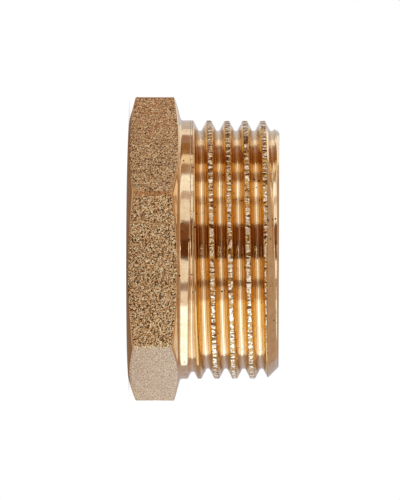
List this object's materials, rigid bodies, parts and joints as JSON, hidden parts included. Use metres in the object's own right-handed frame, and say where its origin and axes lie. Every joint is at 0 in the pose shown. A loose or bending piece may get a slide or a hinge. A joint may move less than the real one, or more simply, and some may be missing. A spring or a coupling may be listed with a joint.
{
  "type": "threaded reducing bushing",
  "caption": "Short brass pipe bushing: a hexagon head with a turned collar and outer pipe thread, bored and threaded inside for a smaller pipe.",
  "frame": {"origin": "centre of the head end face, on the axis of both threads", "axes": "+Z along the axis towards the threaded end, two corners of the hexagon on X, two flats facing along Y"},
  "size_m": [0.0312, 0.0272, 0.0152],
  "materials": {
    "brass": "hexagon pressed and shot blasted, everything else bare turned metal"
  },
  "bodies": {
    "root": {"bushing_body": "brass"}
  },
  "joints": []
}
